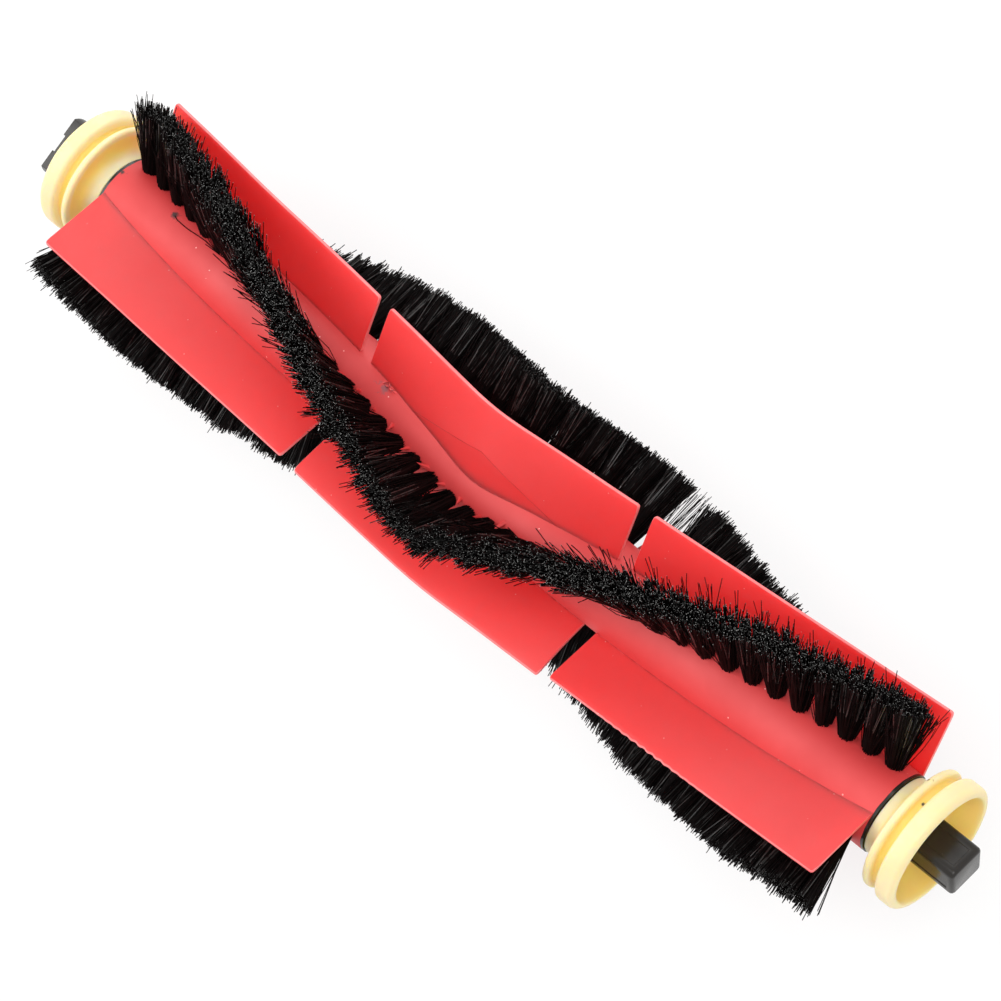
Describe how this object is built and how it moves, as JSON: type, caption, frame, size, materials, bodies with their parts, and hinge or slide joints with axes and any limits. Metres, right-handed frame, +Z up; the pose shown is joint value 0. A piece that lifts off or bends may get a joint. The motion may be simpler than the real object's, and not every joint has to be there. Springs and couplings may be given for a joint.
{
  "type": "robot vacuum roller brush",
  "caption": "Roller brush for a floor-cleaning robot: finned soft body with V-swept bristle rows on a moulded shaft, and a loose bush at each drive end.",
  "frame": {"origin": "on the shaft's axis, halfway along the finned body", "axes": "+X along the shaft towards the square end, +Z up as the roller rests on a floor, +Y level across it"},
  "size_m": [0.1889, 0.039, 0.039],
  "materials": {
    "shaft_plastic": "semi-matt moulded",
    "body_rubber": "soft satin",
    "bristles": "bundled filaments",
    "anchor_wire": "plain wire",
    "bush_plastic": "satin moulded"
  },
  "bodies": {
    "roller": {"shaft": "shaft_plastic", "finned_body": "body_rubber", "bristle_row_1": "bristles", "bristle_row_2": "bristles", "bristle_row_3": "bristles", "tuft_anchors_1": "anchor_wire", "tuft_anchors_2": "anchor_wire", "tuft_anchors_3": "anchor_wire"},
    "square_end_bush": {"square_end_bush": "bush_plastic"},
    "tang_end_bush": {"tang_end_bush": "bush_plastic"}
  },
  "joints": [
    {"name": "square_end_bush_spin", "type": "hinge", "parent": "roller", "child": "square_end_bush", "pos_m": [0.083, 0, 0], "axis": [1, 0, 0], "continuous": true},
    {"name": "tang_end_bush_spin", "type": "hinge", "parent": "roller", "child": "tang_end_bush", "pos_m": [-0.083, 0, 0], "axis": [-1, 0, 0], "continuous": true}
  ]
}
